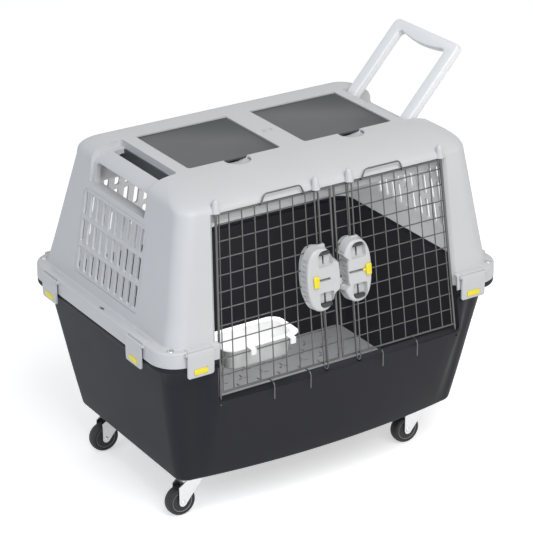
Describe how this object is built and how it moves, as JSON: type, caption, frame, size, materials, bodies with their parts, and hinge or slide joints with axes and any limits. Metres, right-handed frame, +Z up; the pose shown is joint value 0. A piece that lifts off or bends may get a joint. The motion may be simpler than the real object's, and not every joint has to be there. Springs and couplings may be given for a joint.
{
  "type": "pet travel crate",
  "caption": "Moulded pet travel crate: dark tub, light roof with storage lids, wire double doors, waist latches, tilting tow handle and swivel casters.",
  "frame": {"origin": "middle of the box round the crate, on the floor under its wheels", "axes": "+Z up, -Y out of the doors, +X towards the tow handle"},
  "size_m": [0.8008, 0.5727, 0.8222],
  "materials": {
    "shell": "satin",
    "tub": "satin",
    "lid": "satin",
    "panel": "matt",
    "bail": "satin",
    "wire": "plated",
    "housing": "satin",
    "yellow": "satin",
    "bowl": "gloss",
    "zinc": "zinc plated",
    "tyre": "matt",
    "black": "satin"
  },
  "bodies": {
    "crate": {"base_tub": "tub", "upper_shell": "shell", "floor_panel": "panel", "header_trim": "shell", "vent_grille_left": "shell", "vent_grille_right": "shell", "vent_grille_rear_left": "shell", "vent_grille_rear_right": "shell", "corner_screw_front_left": "zinc", "corner_screw_front_right": "zinc", "corner_screw_rear_left": "zinc", "corner_screw_rear_right": "zinc", "caster_mount_front_left": "black", "caster_mount_front_right": "black", "caster_mount_rear_left": "black", "caster_mount_rear_right": "black"},
    "tow_handle": {"tow_handle": "bail"},
    "lid_left": {"lid_left": "lid"},
    "lid_right": {"lid_right": "lid"},
    "door_left": {"door_grid_left": "wire", "latch_housing_front_left": "housing", "latch_housing_back_left": "housing"},
    "rod_upper_left": {"rod_upper_left": "wire"},
    "rod_lower_left": {"rod_lower_left": "wire"},
    "lock_slider_left": {"lock_slider_left": "yellow"},
    "door_right": {"door_grid_right": "wire", "latch_housing_front_right": "housing", "latch_housing_back_right": "housing"},
    "rod_upper_right": {"rod_upper_right": "wire"},
    "rod_lower_right": {"rod_lower_right": "wire"},
    "lock_slider_right": {"lock_slider_right": "yellow"},
    "food_bowl": {"food_bowl": "bowl"},
    "latch_front_left": {"latch_flap_front_left": "shell", "latch_insert_front_left": "yellow"},
    "latch_left_front": {"latch_flap_left_front": "shell", "latch_insert_left_front": "yellow"},
    "latch_rear_left": {"latch_flap_rear_left": "shell", "latch_insert_rear_left": "yellow"},
    "latch_left_rear": {"latch_flap_left_rear": "shell", "latch_insert_left_rear": "yellow"},
    "latch_front_right": {"latch_flap_front_right": "shell", "latch_insert_front_right": "yellow"},
    "latch_right_front": {"latch_flap_right_front": "shell", "latch_insert_right_front": "yellow"},
    "latch_rear_right": {"latch_flap_rear_right": "shell", "latch_insert_rear_right": "yellow"},
    "latch_right_rear": {"latch_flap_right_rear": "shell", "latch_insert_right_rear": "yellow"},
    "caster_fork_front_left": {"caster_fork_front_left": "zinc", "caster_axle_front_left": "zinc"},
    "caster_wheel_front_left": {"caster_wheel_front_left": "tyre"},
    "caster_fork_rear_left": {"caster_fork_rear_left": "zinc", "caster_axle_rear_left": "zinc"},
    "caster_wheel_rear_left": {"caster_wheel_rear_left": "tyre"},
    "caster_fork_front_right": {"caster_fork_front_right": "zinc", "caster_axle_front_right": "zinc"},
    "caster_wheel_front_right": {"caster_wheel_front_right": "tyre"},
    "caster_fork_rear_right": {"caster_fork_rear_right": "zinc", "caster_axle_rear_right": "zinc"},
    "caster_wheel_rear_right": {"caster_wheel_rear_right": "tyre"}
  },
  "joints": [
    {"name": "tow_handle_tilt", "type": "hinge", "parent": "crate", "child": "tow_handle", "pos_m": [0.264, 0, 0.672], "axis": [0, -1, 0], "range_deg": [-60, 35]},
    {"name": "lid_left_hinge", "type": "hinge", "parent": "crate", "child": "lid_left", "pos_m": [-0.1296, 0.0985, 0.68775], "axis": [-1, 0, 0], "range_deg": [0, 100]},
    {"name": "lid_right_hinge", "type": "hinge", "parent": "crate", "child": "lid_right", "pos_m": [0.1296, 0.0985, 0.68775], "axis": [-1, 0, 0], "range_deg": [0, 100]},
    {"name": "door_left_hinge", "type": "hinge", "parent": "crate", "child": "door_left", "pos_m": [-0.2725, -0.2699, 0.3083], "axis": [-0.0535, -0.1123, -0.9922], "range_deg": [0, 100]},
    {"name": "rod_upper_left_slide", "type": "slide", "parent": "door_left", "child": "rod_upper_left", "axis": [0, 0.1125, 0.9937], "range_m": [-0.008, 0], "stiffness_N_per_m": 60, "springref_m": 0.0125},
    {"name": "rod_lower_left_slide", "type": "slide", "parent": "door_left", "child": "rod_lower_left", "axis": [0, -0.1125, -0.9937], "range_m": [-0.008, 0], "stiffness_N_per_m": 60, "springref_m": 0.0125},
    {"name": "lock_slider_left_slide", "type": "slide", "parent": "door_left", "child": "lock_slider_left", "axis": [1, 0, 0], "range_m": [0, 0.01]},
    {"name": "door_right_hinge", "type": "hinge", "parent": "crate", "child": "door_right", "pos_m": [0.2725, -0.2699, 0.3083], "axis": [-0.0535, 0.1123, 0.9922], "range_deg": [0, 100]},
    {"name": "rod_upper_right_slide", "type": "slide", "parent": "door_right", "child": "rod_upper_right", "axis": [0, 0.1125, 0.9937], "range_m": [-0.008, 0], "stiffness_N_per_m": 60, "springref_m": 0.0125},
    {"name": "rod_lower_right_slide", "type": "slide", "parent": "door_right", "child": "rod_lower_right", "axis": [0, -0.1125, -0.9937], "range_m": [-0.008, 0], "stiffness_N_per_m": 60, "springref_m": 0.0125},
    {"name": "lock_slider_right_slide", "type": "slide", "parent": "door_right", "child": "lock_slider_right", "axis": [-1, 0, 0], "range_m": [0, 0.01]},
    {"name": "food_bowl_lift", "type": "slide", "parent": "door_left", "child": "food_bowl", "axis": [0, 0, 1], "range_m": [0, 0.02]},
    {"name": "latch_front_left_hinge", "type": "hinge", "parent": "crate", "child": "latch_front_left", "pos_m": [-0.314, -0.2768, 0.408], "axis": [-1, 0, 0], "range_deg": [0, 105]},
    {"name": "latch_left_front_hinge", "type": "hinge", "parent": "crate", "child": "latch_left_front", "pos_m": [-0.3968, -0.168, 0.408], "axis": [0, 1, 0], "range_deg": [0, 105]},
    {"name": "latch_rear_left_hinge", "type": "hinge", "parent": "crate", "child": "latch_rear_left", "pos_m": [-0.314, 0.2768, 0.408], "axis": [1, 0, 0], "range_deg": [0, 105]},
    {"name": "latch_left_rear_hinge", "type": "hinge", "parent": "crate", "child": "latch_left_rear", "pos_m": [-0.3968, 0.168, 0.408], "axis": [0, 1, 0], "range_deg": [0, 105]},
    {"name": "latch_front_right_hinge", "type": "hinge", "parent": "crate", "child": "latch_front_right", "pos_m": [0.314, -0.2768, 0.408], "axis": [-1, 0, 0], "range_deg": [0, 105]},
    {"name": "latch_right_front_hinge", "type": "hinge", "parent": "crate", "child": "latch_right_front", "pos_m": [0.3968, -0.168, 0.408], "axis": [0, -1, 0], "range_deg": [0, 105]},
    {"name": "latch_rear_right_hinge", "type": "hinge", "parent": "crate", "child": "latch_rear_right", "pos_m": [0.314, 0.2768, 0.408], "axis": [1, 0, 0], "range_deg": [0, 105]},
    {"name": "latch_right_rear_hinge", "type": "hinge", "parent": "crate", "child": "latch_right_rear", "pos_m": [0.3968, 0.168, 0.408], "axis": [0, -1, 0], "range_deg": [0, 105]},
    {"name": "caster_front_left_swivel", "type": "hinge", "parent": "crate", "child": "caster_fork_front_left", "pos_m": [-0.2697, -0.154, 0.0806], "axis": [0, 0, 1], "continuous": true},
    {"name": "caster_front_left_roll", "type": "hinge", "parent": "caster_fork_front_left", "child": "caster_wheel_front_left", "pos_m": [-0.2987, -0.154, 0.031], "axis": [0, 1, 0], "continuous": true},
    {"name": "caster_rear_left_swivel", "type": "hinge", "parent": "crate", "child": "caster_fork_rear_left", "pos_m": [-0.2697, 0.154, 0.0806], "axis": [0, 0, 1], "continuous": true},
    {"name": "caster_rear_left_roll", "type": "hinge", "parent": "caster_fork_rear_left", "child": "caster_wheel_rear_left", "pos_m": [-0.2987, 0.154, 0.031], "axis": [0, 1, 0], "continuous": true},
    {"name": "caster_front_right_swivel", "type": "hinge", "parent": "crate", "child": "caster_fork_front_right", "pos_m": [0.2697, -0.154, 0.0806], "axis": [0, 0, 1], "continuous": true},
    {"name": "caster_front_right_roll", "type": "hinge", "parent": "caster_fork_front_right", "child": "caster_wheel_front_right", "pos_m": [0.2407, -0.154, 0.031], "axis": [0, 1, 0], "continuous": true},
    {"name": "caster_rear_right_swivel", "type": "hinge", "parent": "crate", "child": "caster_fork_rear_right", "pos_m": [0.2697, 0.154, 0.0806], "axis": [0, 0, 1], "continuous": true},
    {"name": "caster_rear_right_roll", "type": "hinge", "parent": "caster_fork_rear_right", "child": "caster_wheel_rear_right", "pos_m": [0.2407, 0.154, 0.031], "axis": [0, 1, 0], "continuous": true}
  ]
}
